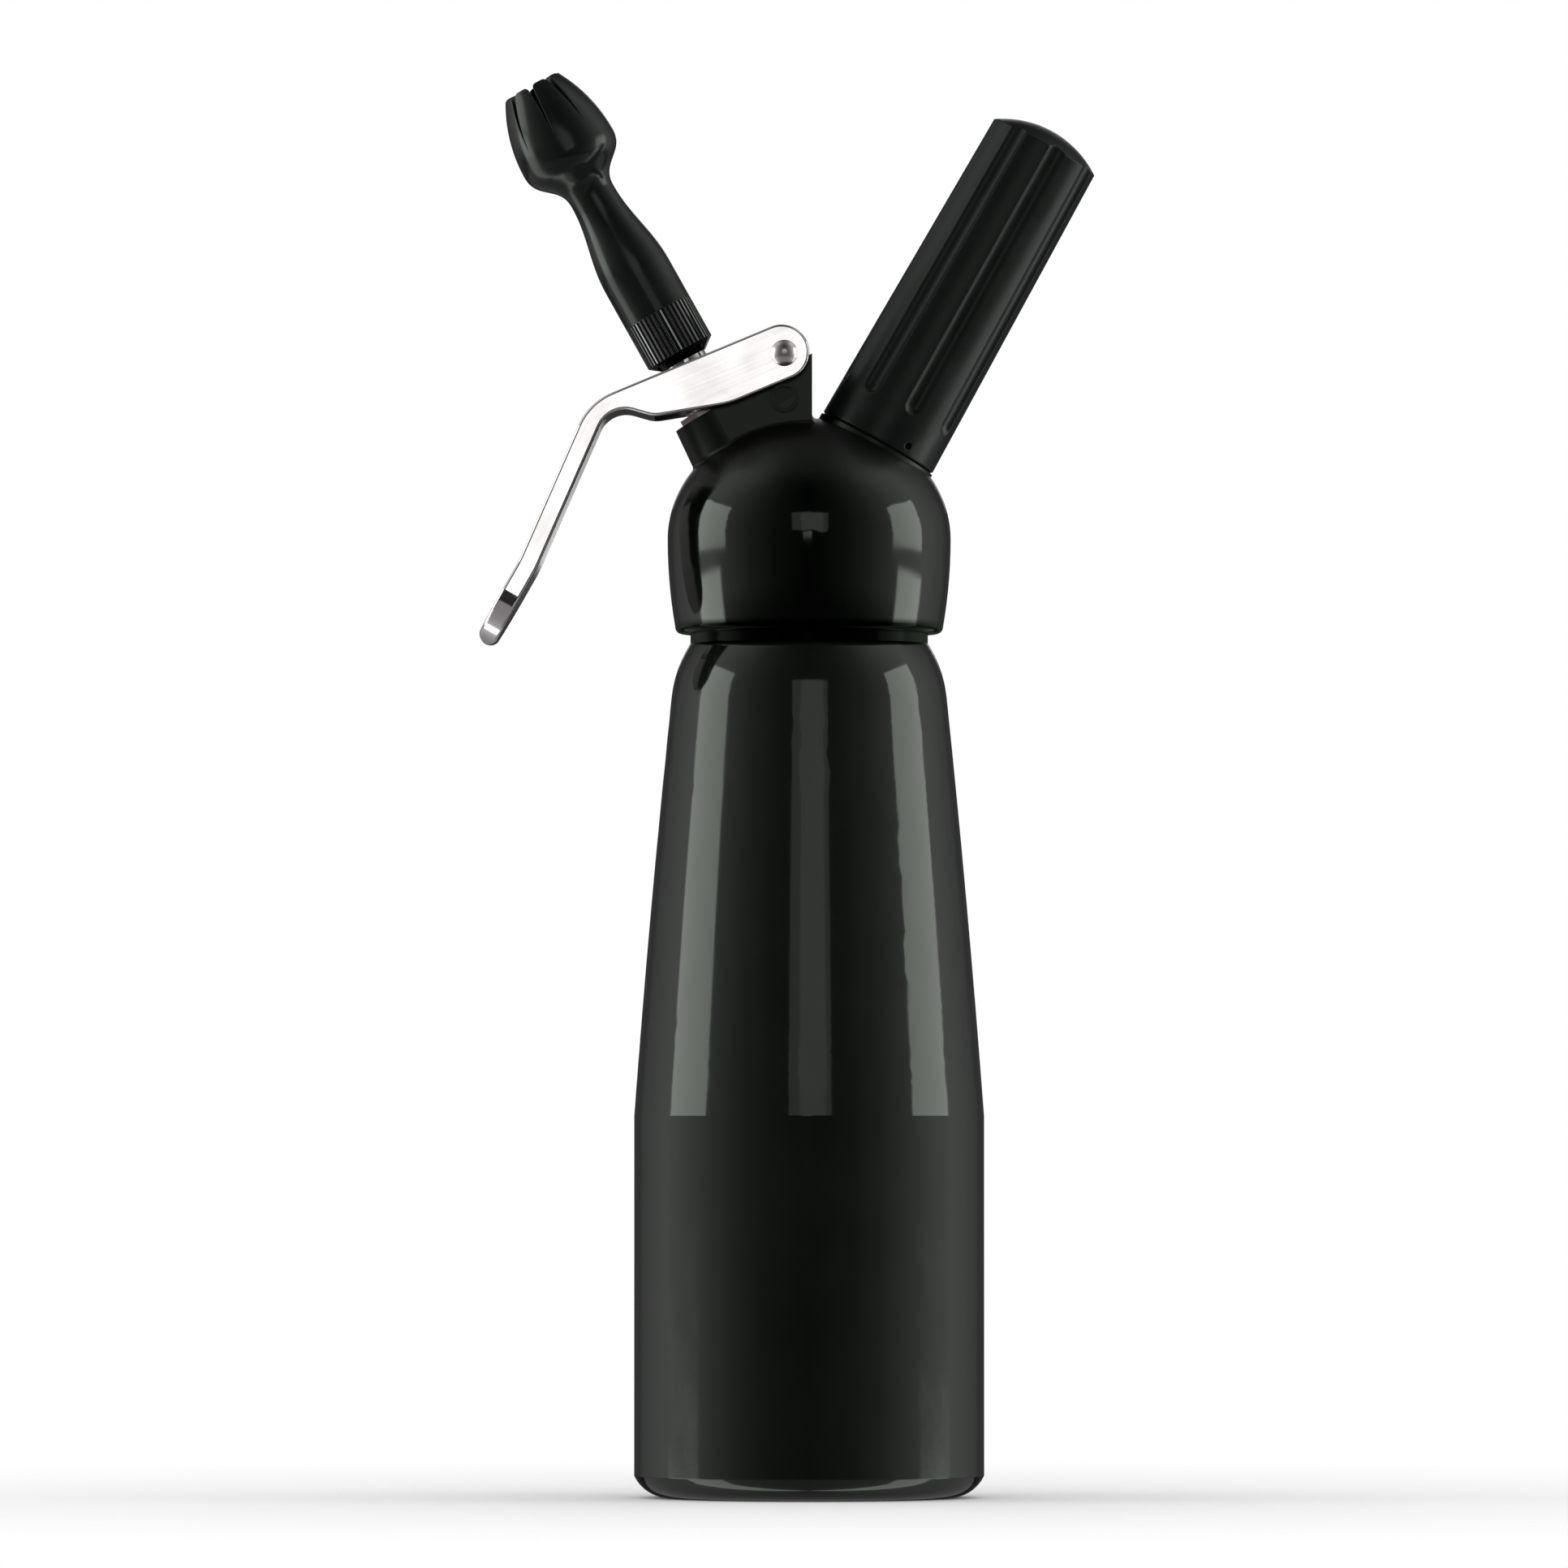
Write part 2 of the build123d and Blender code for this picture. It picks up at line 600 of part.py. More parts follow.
def make_tip_cut():
    """What is cut away to leave the handle a round tip."""
    way = tip_direction()
    across = Plane(
        origin=lever_side.from_local_coords(tip_end - tip_way * cheek_outside),
        x_dir=way,
        z_dir=way.cross(Vector(0, 1, 0)),
    )
    length = cheek_outside + 2 * BEYOND
    outside = Pos(length / 2, 0) * Rectangle(length, 2 * length) - Circle(cheek_outside)
    return extrude(across * outside, HANDLE_THICKNESS + BEYOND, both=True)


def make_tip_nose():
    """What is cut away to round the tip's end in the side view."""
    radius = HANDLE_THICKNESS / 2
    centre = tip_end + tip_under / 2 - tip_way * (radius + TIP_NOSE_INSET)
    nose = Plane(origin=lever_side.from_local_coords(centre), x_dir=tip_direction(), z_dir=(0, 1, 0))
    length = radius + BEYOND
    outside = Pos(length / 2, 0) * Rectangle(length, HANDLE_THICKNESS + BEYOND) - Circle(radius)
    return extrude(nose * outside, cheek_outside + BEYOND, both=True)


def channel_face():
    """The room between the cheeks, under the web and open behind it."""
    far = FORK_RISE + BEYOND
    edge = Polyline(
        (-far, -far),
        (CHANNEL_LENGTH, -far),
        (CHANNEL_LENGTH, web_under),
        (WEB_REAR, web_under),
        (WEB_REAR, far),
        (-far, far),
        close=True,
    )
    face = make_face(edge)
    return fillet(face.vertices().sort_by_distance(Vector(CHANNEL_LENGTH, web_under))[0], CHANNEL_CORNER)


def make_lever_pin():
    end = cheek_outside + PIN_HEAD_HEIGHT
    outline = Curve() + [
        TangentArc((0, end), (PIN_HEAD_RADIUS, cheek_outside), tangent=(1, 0)),
        Polyline(
            (PIN_HEAD_RADIUS, cheek_outside),
            (PIN_RADIUS, cheek_outside),
            (PIN_RADIUS, -cheek_outside),
            (PIN_HEAD_RADIUS, -cheek_outside),
        ),
        TangentArc((0, -end), (PIN_HEAD_RADIUS, -cheek_outside), tangent=(1, 0)),
        Line((0, -end), (0, end)),
    ]
    return lever_side * turned(outline)


def make_nozzle_seal():
    return valve * tube(NOZZLE_SEAL_RADIUS, STEM_BORE, nozzle_seal_bottom, nozzle_seal_top)


def make_nozzle_collar():
    edge = Polyline(
        (0, collar_bottom),
        (COLLAR_FACE_RADIUS, collar_bottom),
        (COLLAR_RADIUS, collar_bottom + COLLAR_CHAMFER_HEIGHT),
        (COLLAR_RADIUS, collar_top),
        (0, collar_top),
        close=True,
    )
    collar = turned(edge)
    notch = rod(KNURL_RADIUS, collar_bottom - BEYOND, collar_top + BEYOND)
    collar -= PolarLocations(COLLAR_RADIUS + KNURL_RADIUS - KNURL_DEPTH, KNURL_COUNT) * notch
    collar -= rod(NOZZLE_THREAD_CORE + NOZZLE_THREAD_CLEARANCE, collar_bottom - BEYOND, collar_top)
    groove_radius = NOZZLE_RIDGE_RADIUS + NOZZLE_THREAD_CLEARANCE
    collar -= groove(NOZZLE_THREAD_CORE, groove_radius, NOZZLE_PITCH, NOZZLE_THREAD_TURNS, nozzle_thread)
    collar -= rod(NOZZLE_SEAL_RADIUS + COVER_GAP, stem_top, collar_top)
    collar -= rod(SOCKET_RADIUS, tip_bottom, collar_top + BEYOND)
    return valve * collar


def make_nozzle_tip():
    straight_top = collar_top + TIP_STRAIGHT
    neck = straight_top + TIP_TAPER
    belly = neck + TIP_BELLY_RISE
    mouth = belly + TIP_PETAL_LENGTH
    upright = (0, 1)
    outside = Curve() + [
        Polyline(
            (0, tip_bottom),
            (SOCKET_RADIUS, tip_bottom),
            (SOCKET_RADIUS, collar_top),
            (COLLAR_RADIUS, collar_top),
            (COLLAR_RADIUS, straight_top),
        ),
        Spline((COLLAR_RADIUS, straight_top), (TIP_NECK_RADIUS, neck), tangents=(upright, upright)),
        Spline((TIP_NECK_RADIUS, neck), (TIP_BELLY_RADIUS, belly), tangents=(upright, upright)),
        TangentArc((TIP_BELLY_RADIUS, belly), (TIP_MOUTH_RADIUS, mouth), tangent=upright),
        Polyline((TIP_MOUTH_RADIUS, mouth), (0, mouth), (0, tip_bottom)),
    ]
    inner_belly = TIP_BELLY_RADIUS - TIP_WALL
    inner_mouth = TIP_MOUTH_RADIUS - TIP_WALL
    inside = Curve() + [
        Polyline((0, neck), (TIP_BORE, neck)),
        Spline((TIP_BORE, neck), (inner_belly, belly), tangents=(upright, upright)),
        TangentArc((inner_belly, belly), (inner_mouth, mouth), tangent=upright),
        Polyline((inner_mouth, mouth), (inner_mouth, mouth + BEYOND), (0, mouth + BEYOND), (0, neck)),
    ]
    tip = turned(outside) - turned(inside) - rod(TIP_BORE, tip_bottom - BEYOND, neck + BEYOND)
    for i in range(PETAL_COUNT):
        angle = math.radians(PETAL_FIRST_ANGLE + 360 * i / PETAL_COUNT - 90)
        outwards = (math.cos(angle), math.sin(angle), 0)
        around = (-math.sin(angle), math.cos(angle), 0)
        slot_plane = Plane(origin=(0, 0, mouth), x_dir=around, z_dir=outwards)
        tip -= extrude(slot_plane * petal_slot_face(), TIP_BELLY_RADIUS + BEYOND)
    return valve * tip


def petal_slot_face():
    """A narrow V down from the mouth, whose upper corners are rounded to leave round petal ends."""
    half = PETAL_SLOT_WIDTH / 2
    open_half = half + PETAL_ROUND
    edges = [Line((-open_half, BEYOND), (open_half, BEYOND))]
    for side in (1, -1):
        edges += [
            Line((side * open_half, BEYOND), (side * open_half, 0)),
            TangentArc((side * open_half, 0), (side * half, -PETAL_ROUND), tangent=(-side, 0)),
            Line((side * half, -PETAL_ROUND), (0, -PETAL_SLOT_LENGTH)),
        ]
    return make_face(Curve() + edges)


def make_gas_adapter():
    adapter = rod(SPIGOT_RADIUS, GAS_SEAT_RISE, spigot_top)
    adapter += coil(spigot_ridge, SPIGOT_RIDGE_RADIUS, SPIGOT_PITCH, SPIGOT_THREAD_TURNS, spigot_thread)
    adapter += rod(SHANK_RADIUS, shank_bottom, GAS_SEAT_RISE)
    adapter += rod(NOSE_RADIUS, nose_bottom, shank_bottom)
    adapter += rod(NOSE_RADIUS + SLEEVE_WALL, nose_bottom, nose_bottom + NOSE_LIP)
    adapter -= rod(GAS_BORE, nose_bottom + 2 * NOSE_LIP, spigot_top)
    adapter -= rod(PIN_BASE_RADIUS, pin_base_bottom, spigot_top)
    adapter -= rod(socket_radius, pin_base_top, spigot_top + BEYOND)
    port_height = (nose_bottom + shank_bottom) / 2
    adapter -= Pos(0, 0, port_height) * Rot(90, 0, 0) * Cylinder(GAS_PORT_RADIUS, 4 * NOSE_RADIUS)
    return gas * adapter


def make_adapter_o_ring():
    inner = SHANK_RADIUS
    return gas * o_ring(inner, inner + 2 * ADAPTER_RING_WIRE, GAS_SEAT_RISE - ADAPTER_RING_WIRE)


def make_check_valve_sleeve():
    return gas * tube(NOSE_RADIUS + SLEEVE_WALL, NOSE_RADIUS, nose_bottom + NOSE_LIP, shank_bottom)


def make_piercing_pin():
    outline = Polyline(
        (NEEDLE_BORE, pin_base_bottom),
        (PIN_BASE_RADIUS, pin_base_bottom),
        (PIN_BASE_RADIUS, pin_base_top),
        (NEEDLE_RADIUS, pin_base_top),
        (NEEDLE_RADIUS, needle_top),
        (NEEDLE_BORE, needle_top + NEEDLE_POINT),
        close=True,
    )
    return gas * turned(outline)


def make_charger_gasket():
    top = pin_base_top + CHARGER_GASKET_THICKNESS
    return gas * tube(CHARGER_NECK_RADIUS, NEEDLE_RADIUS, pin_base_top, top)


def make_charger():
    pierced = NEEDLE_RADIUS + PIERCING_PLAY
    inside_tip = needle_top + NEEDLE_POINT + PIERCING_PLAY
    charger = turned(charger_outline(0, charger_tip, charger_end))
    charger -= turned(charger_outline(CHARGER_WALL, inside_tip, charger_end - CHARGER_WALL))
    return gas * (charger - rod(pierced, charger_tip - BEYOND, inside_tip + BEYOND))


def charger_outline(inset, tip, end):
    """Half the cartridge: a narrow neck, a smooth shoulder, a straight body and a rounded end."""
    neck = CHARGER_NECK_RADIUS - inset
    body = CHARGER_RADIUS - inset
    end_round = CHARGER_END_ROUND - inset
    shoulder_bottom = charger_tip + CHARGER_NECK_LENGTH
    shoulder_end = shoulder_bottom + CHARGER_SHOULDER
    return Curve() + [
        Polyline((0, end), (0, tip), (neck, tip), (neck, shoulder_bottom)),
        Spline((neck, shoulder_bottom), (body, shoulder_end), tangents=((0, 1), (0, 1))),
        Line((body, shoulder_end), (body, end - end_round)),
        TangentArc((body, end - end_round), (body - end_round, end), tangent=(0, 1)),
        Line((body - end_round, end), (0, end)),
    ]


def make_charger_holder():
    outside = Curve() + [
        Polyline(
            (0, holder_foot),
            (HOLDER_FOOT_RADIUS - HOLDER_FOOT_EDGE, holder_foot),
            (HOLDER_FOOT_RADIUS, holder_foot + HOLDER_FOOT_EDGE),
            (HOLDER_TOP_RADIUS, holder_edge),
        ),
        TangentArc((0, holder_apex), (HOLDER_TOP_RADIUS, holder_edge), tangent=(1, 0)),
        Line((0, holder_apex), (0, holder_foot)),
    ]
    bore = CHARGER_RADIUS + CHARGER_PLAY
    end_round = CHARGER_END_ROUND
    inside = Curve() + [
        Polyline((0, holder_foot), (bore, holder_foot), (bore, holder_inside - end_round)),
        TangentArc((bore, holder_inside - end_round), (bore - end_round, holder_inside), tangent=(0, 1)),
        Polyline((bore - end_round, holder_inside), (0, holder_inside), (0, holder_foot)),
    ]
    holder = turned(outside) - make_flutes() - turned(inside)
    holder -= rod(SPIGOT_RADIUS + THREAD_CLEARANCE, holder_foot - BEYOND, spigot_top + COVER_GAP)
    groove_radius = SPIGOT_RIDGE_RADIUS + THREAD_CLEARANCE
    holder -= groove(spigot_ridge, groove_radius, SPIGOT_PITCH, SPIGOT_THREAD_TURNS, spigot_thread)
    return gas * (holder - make_vents())


def make_flutes():
    """Round-bottomed cutters that follow the holder's taper, each with a ball end above the foot."""
    cutter = (FLUTE_WIDTH**2 / 4 + FLUTE_DEPTH**2) / (2 * FLUTE_DEPTH)
    length = holder_edge - holder_foot
    lean = math.degrees(math.atan2(HOLDER_FOOT_RADIUS - HOLDER_TOP_RADIUS, length))
    bottom = holder_foot + FLUTE_START + FLUTE_WIDTH / 2
    surface = HOLDER_FOOT_RADIUS - (bottom - holder_foot) * math.tan(math.radians(lean))
    flute = Sphere(cutter) + rod(cutter, 0, length)
    flute = Pos(surface - FLUTE_DEPTH + cutter, 0, bottom) * Rot(0, -lean, 0) * flute
    first = FLUTE_FIRST_ANGLE - 90
    return [Rot(0, 0, first + 360 * i / FLUTE_COUNT) * flute for i in range(FLUTE_COUNT)]


def make_vents():
    """Small drillings through the foot that let gas out while the holder is still on its thread."""
    drill = Rot(0, 90, 0) * rod(VENT_RADIUS, 0, HOLDER_FOOT_RADIUS + BEYOND)
    first = VENT_FIRST_ANGLE - 90
    middle = Pos(0, 0, holder_foot + VENT_RISE)
    return [middle * Rot(0, 0, first + 360 * i / VENT_COUNT) * drill for i in range(VENT_COUNT)]


pieces = {
    "bottle": make_bottle(),
    "head_gasket": make_head_gasket(),
    "head": make_head(),
    "valve_gland": make_valve_gland(),
    "valve_bush": make_valve_bush(),
    "stem_o_ring": make_stem_o_ring(),
    "valve_spring": make_valve_spring(),
    "valve_stem": make_valve_stem(),
    "valve_disc": make_valve_disc(),
    "valve_disc_seal": make_valve_disc_seal(),
    "lever": make_lever(),
    "lever_pin": make_lever_pin(),
    "nozzle_seal": make_nozzle_seal(),
    "nozzle_collar": make_nozzle_collar(),
    "nozzle_tip": make_nozzle_tip(),
    "gas_adapter": make_gas_adapter(),
    "adapter_o_ring": make_adapter_o_ring(),
    "check_valve_sleeve": make_check_valve_sleeve(),
    "piercing_pin": make_piercing_pin(),
    "charger_gasket": make_charger_gasket(),
    "charger": make_charger(),
    "charger_holder": make_charger_holder(),
}

os.makedirs("parts", exist_ok=True)
for name, piece in pieces.items():
    export_step(piece, f"parts/{name}.step")
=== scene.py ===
"""The looks of a cream whipper: materials for its solids, a wound spring, light, floor and camera."""
import math

import bpy
from mathutils import Matrix, Vector


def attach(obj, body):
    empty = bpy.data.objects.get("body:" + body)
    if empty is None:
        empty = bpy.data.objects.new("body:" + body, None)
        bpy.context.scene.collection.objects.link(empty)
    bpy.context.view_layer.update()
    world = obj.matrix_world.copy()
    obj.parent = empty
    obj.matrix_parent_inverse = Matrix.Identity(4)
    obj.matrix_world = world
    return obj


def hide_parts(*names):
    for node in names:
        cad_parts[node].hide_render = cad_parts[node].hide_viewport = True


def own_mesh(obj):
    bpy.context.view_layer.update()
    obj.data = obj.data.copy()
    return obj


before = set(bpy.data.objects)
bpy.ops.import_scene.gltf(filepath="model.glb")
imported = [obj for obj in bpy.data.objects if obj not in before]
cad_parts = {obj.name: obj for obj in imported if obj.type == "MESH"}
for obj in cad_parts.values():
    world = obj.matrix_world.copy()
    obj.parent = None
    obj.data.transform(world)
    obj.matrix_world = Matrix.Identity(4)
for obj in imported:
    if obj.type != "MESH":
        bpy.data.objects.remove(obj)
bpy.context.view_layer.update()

MM = 0.001

# The leans of the valve and the charger, in degrees, and where the valve's axis meets the bottle's
VALVE_LEAN = -29.2
GAS_LEAN = 29.4
VALVE_ORIGIN = Vector((0, 0, 203.8)) * MM

# Heights on the bottle's neck over which painted shade begins (the collar under the head's rim made
# near-black metal), and above it bare metal
NECK_PAINTED_SHADE = (189.3 * MM, 190.0 * MM)
NECK_BARE = (193.2 * MM, 193.6 * MM)

# The head's dome, half an ellipsoid, and the heights and shares of its size past which a part stands out
DOME_RADIUS = 31.6 * MM
DOME_HEIGHT = 27.0 * MM
DOME_CENTRE = 213.6 * MM
DOME_EDGE = (DOME_CENTRE, DOME_CENTRE + 4 * MM)
STANDS_OUT = (1.01, 1.05)

# Heights on the head over which the rim's painted shade (near-black metal at its lower edge) ends and the
# dull top begins
RIM_PAINTED_SHADE = (194.0 * MM, 195.3 * MM)
DULL_TOP = (221.5 * MM, 230.0 * MM)

# The slopes of the lever's fork and handle in degrees, and the stretch of X where the brushing turns
FORK_SLOPE = 22.6
HANDLE_SLOPE = 66.3
LEVER_BEND = (-50 * MM, -43 * MM)

# Distances from the nozzle's axis over which the collar's knurling becomes a lighter metallic crest: rubbed
# wear and a painted highlight
COLLAR_CREST = (7.93 * MM, 8.01 * MM)

# The valve spring, in millimetres along and from its axis
SPRING_BOTTOM = 45.50
SPRING_TOP = 52.03
SPRING_RADIUS = 5.3
SPRING_WIRE = 0.9
SPRING_TURNS = 2.5
SPRING_STEPS = 72
SPRING_SIDES = 14

# The floor, in metres: its reach, and the distances over which it fades into the background
FLOOR_REACH = 1.0
FLOOR_FADE = (0.08, 0.34)
FLOOR_RINGS = 24
FLOOR_SIDES = 96
FLOOR_TONE = (0.97, 0.97, 0.97, 1)

# The world's colour, and the level of light that it gives to matt surfaces
WORLD_TONE = (1, 1, 1, 1)
WORLD_LEVEL = 0.8

# The ring of cards, in metres, and how bright it is by degrees from straight in front
CARD_RADIUS = 8.0
CARD_FOOT = -2.3
CARD_TOP = 9.0
CARD_SIDES = 96
CARD_TONES = (
    (0, 0.006),
    (28, 0.07),
    (48, 0.21),
    (66, 0.46),
    (87, 0.74),
    (108, 0.80),
    (130, 0.34),
    (150, 0.09),
    (180, 0.03),
)

# The ring's lid, its dark foot and the table inside the foot: tones, and where their soft edges lie
LID_TONE = (0.15, 0.15, 0.15)
LID_EDGE = (1.5, 5.5)
FOOT_TONE = (0.006, 0.006, 0.006)
FOOT_EDGE = (CARD_FOOT, CARD_FOOT + 1.4)
TABLE_FRONT_TONE = (0.2, 0.19, 0.2)
TABLE_SIDE_TONE = (0.55, 0.55, 0.55)
TABLE_EDGE = (7.0, 7.9)

# The softboxes' images in a polished table top: turn from the front, heights on the ring, edges and tone
IMAGE_TURN = (math.radians(78.0), math.radians(106.0))
IMAGE_TURN_SOFT = 0.02
IMAGE_HEIGHTS = (-2.3, -0.26)
IMAGE_HEIGHT_SOFT = 0.08
IMAGE_TONE = (3.6, 3.6, 3.6)

# Softboxes at both sides: how far out, how far forward, how high, their width, height and brightness
SOFTBOX_OUT = 3.0
SOFTBOX_FORWARD = 0.10
SOFTBOX_HEIGHT = 1.01
SOFTBOX_SIZE = (1.75, 1.57)
SOFTBOX_BRIGHTNESS = 1.88

# Panels in front and behind: how far right, away and up, the height they face, size and brightness
PANELS = {
    "low": (-0.14, 6.0, 0.525, 0.25, (0.72, 0.45), 1.0),
    "high": (0.06, 6.0, 1.91, 0.15, (3.15, 2.14), 0.36),
    "core": (0.25, 5.9, 1.875, 0.15, (1.9, 2.09), 0.24),
}

# Watts from each square metre of a lamp of brightness 1
LAMP_WATTS = 4

# The camera: its place, what it looks at and how wide a view it has there
CAMERA_PLACE = Vector((-5.6, -3000, 80)) * MM
CAMERA_AIM = Vector((-5.6, 0, 159)) * MM
FRAME_WIDTH = 349.7 * MM
SENSOR_WIDTH = 36
CLIP_NEAR = 0.1
CLIP_FAR = 50

# Values between which most of a noise lies
NOISE_RANGE = (0.3, 0.7)

# Tints of the gloss on lacquer and on plastic, and the near-black colour of the painted shade on the
# bottle's neck
LACQUER_TINT = (0.88, 1.0, 0.86, 1)
PLASTIC_TINT = (0.90, 1.0, 0.92, 1)
PAINTED_SHADE_BLACK = (0.0018, 0.0020, 0.0018)


def leaning(degrees):
    """The direction of an axis that leans from upright towards +X."""
    angle = math.radians(degrees)
    return Vector((math.sin(angle), 0, math.cos(angle)))


def add_object(name, data):
    """A new object in the scene."""
    thing = bpy.data.objects.new(name, data)
    bpy.context.scene.collection.objects.link(thing)
    return thing


# Small helpers for node trees
def put(tree, kind, **values):
    """Add a node, setting its plain attributes and the inputs that have the same name."""
    node = tree.nodes.new(kind)
    for name, value in values.items():
        if hasattr(node, name):
            setattr(node, name, value)
        else:
            node.inputs[name.title()].default_value = value
    return node


def join(tree, source, target):
    tree.links.new(source, target)


def object_place(tree):
    """The piece's own coordinates, in metres, which move with it."""
    return put(tree, "ShaderNodeTexCoord").outputs["Object"]


def vector_node(tree, operation, vector, by):
    """A vector changed by a fixed one."""
    node = put(tree, "ShaderNodeVectorMath", operation=operation)
    node.inputs[1].default_value = by
    join(tree, vector, node.inputs[0])
    return node.outputs["Vector"]


def vector_length(tree, vector):
    node = put(tree, "ShaderNodeVectorMath", operation="LENGTH")
    join(tree, vector, node.inputs[0])
    return node.outputs["Value"]


def mapped(tree, place, scale, turn=0.0):
    """A place turned about Y by some degrees, then stretched."""
    node = put(tree, "ShaderNodeVectorRotate", rotation_type="EULER_XYZ")
    node.inputs["Rotation"].default_value = (0, math.radians(turn), 0)
    join(tree, place, node.inputs["Vector"])
    return vector_node(tree, "MULTIPLY", node.outputs["Vector"], scale)


def noise(tree, place, scale=1.0, detail=3.0, roughness=0.55):
    node = put(tree, "ShaderNodeTexNoise", scale=scale, detail=detail, roughness=roughness)
    join(tree, place, node.inputs["Vector"])
    return node.outputs["Fac"]


def spots(tree, place, scale):
    node = put(tree, "ShaderNodeTexVoronoi", scale=scale)
    join(tree, place, node.inputs["Vector"])
    return node.outputs["Distance"]


def span(tree, value, source=NOISE_RANGE, target=(0, 1)):
    """A value carried from one range to another and kept inside it."""
    node = put(tree, "ShaderNodeMapRange", clamp=True)
    labels = ("From Min", "From Max", "To Min", "To Max")
    for label, number in zip(labels, (*source, *target)):
        node.inputs[label].default_value = number
    join(tree, value, node.inputs["Value"])
    return node.outputs["Result"]


def math_node(tree, operation, a, b=0):
    """Arithmetic on two values, each a number or a socket."""
    node = put(tree, "ShaderNodeMath", operation=operation)
    for i, value in enumerate((a, b)):
        if isinstance(value, (int, float)):
            node.inputs[i].default_value = value
        else:
            join(tree, value, node.inputs[i])
    return node.outputs[0]


def between(tree, value, low, high, soft):
    """1 between two values and 0 outside them, with soft edges."""
    rise = span(tree, value, (low - soft, low + soft))
    fall = span(tree, value, (high - soft, high + soft), (1, 0))
    return math_node(tree, "MULTIPLY", rise, fall)


def mixed(tree, factor, a, b, kind="RGBA"):
    """A colour between two, or with the kind VALUE a number between two; each may be a socket."""
    node = put(tree, "ShaderNodeMix", data_type="FLOAT" if kind == "VALUE" else kind)
    for name, value in (("A", a), ("B", b)):
        socket = next(s for s in node.inputs if s.name == name and s.type == kind)
        if isinstance(value, tuple):
            socket.default_value = (*value, 1)
        else:
            join(tree, value, socket)
    join(tree, factor, node.inputs["Factor"])
    return next(s for s in node.outputs if s.type == kind)


def split_xyz(tree, place):
    node = put(tree, "ShaderNodeSeparateXYZ")
    join(tree, place, node.inputs[0])
    return node.outputs


def from_upright(tree, xyz):
    """How far a place is from the upright axis."""
    squares = [math_node(tree, "MULTIPLY", xyz[k], xyz[k]) for k in ("X", "Y")]
    return math_node(tree, "SQRT", math_node(tree, "ADD", *squares))


def bumped(tree, height, depth, normal=None):
    node = put(tree, "ShaderNodeBump", strength=1.0, distance=depth)
    join(tree, height, node.inputs["Height"])
    if normal is not None:
        join(tree, normal, node.inputs["Normal"])
    return node.outputs["Normal"]


def rounded(tree, radius):
    """Normals as if every edge of the piece had a small round on it."""
    return put(tree, "ShaderNodeBevel", samples=6, radius=radius).outputs["Normal"]


def new_material(name, **sockets):
    """A named material, its shader's plain values set on the shader itself."""
    material = bpy.data.materials.new(name)
    material.use_nodes = True
    shader = material.node_tree.nodes["Principled BSDF"]
    for label, value in sockets.items():
        shader.inputs[label.replace("_", " ").title().replace("Ior", "IOR")].default_value = value
    return material, material.node_tree, shader


def link_look(tree, shader, colour=None, gloss=None, normal=None, metallic=None):
    """Feed the shader's inputs that vary over the piece."""
    inputs = {"Base Color": colour, "Roughness": gloss, "Normal": normal, "Metallic": metallic}
    for label, socket in inputs.items():
        if socket is not None:
            join(tree, socket, shader.inputs[label])


def feeding(shader, label):
    """The socket that feeds one of the shader's inputs."""
    return shader.inputs[label].links[0].from_socket


# Materials
def lacquer(name, dark, light):
    """Gloss black lacquer over metal, with a faint orange peel, wiping marks and a little dust."""
    material, tree, shader = new_material(name, specular_tint=LACQUER_TINT)
    place = object_place(tree)
    tone = noise(tree, place, scale=60, detail=4)
    colour = mixed(tree, span(tree, tone), dark, light)
    wiped = noise(tree, mapped(tree, place, (1, 1, 0.35)), scale=130, detail=5, roughness=0.62)
    dust = span(tree, spots(tree, place, scale=700), (0.0, 0.06), (0.10, 0.0))
    gloss = math_node(tree, "ADD", span(tree, wiped, (0.35, 0.75), (0.055, 0.105)), dust)
    peel = noise(tree, place, scale=480, detail=2)
    link_look(tree, shader, colour, gloss, bumped(tree, peel, 0.0016 * MM, rounded(tree, 0.2 * MM)))
    return material, tree, shader


def bottle_lacquer():
    """The lacquer, painted shade on the neck's collar (near-black metal standing in for the shadow under
    the head's rim), and bare turned metal where the neck is threaded.
    """
    blacks = ((0.0034, 0.0042, 0.0036), (0.0050, 0.0059, 0.0052))
    material, tree, shader = lacquer("bottle_lacquer_look", *blacks)
    place = object_place(tree)
    height = split_xyz(tree, place)["Z"]
    # Painted shade: the neck's collar, shaded by the head's rim, is made near-black metal that reflects
    # almost nothing
    painted_shade = span(tree, height, NECK_PAINTED_SHADE)
    bare = span(tree, height, NECK_BARE)
    rings = noise(tree, mapped(tree, place, (40, 40, 9000)), detail=2)
    metal = mixed(tree, rings, (0.60, 0.61, 0.62), (0.78, 0.78, 0.79))
    black = mixed(tree, painted_shade, feeding(shader, "Base Color"), PAINTED_SHADE_BLACK)
    dull = math_node(tree, "MULTIPLY", math_node(tree, "ADD", painted_shade, bare), 0.12)
    gloss = math_node(tree, "ADD", feeding(shader, "Roughness"), dull)
    link_look(tree, shader, mixed(tree, bare, black, metal), gloss, metallic=painted_shade)
    return material


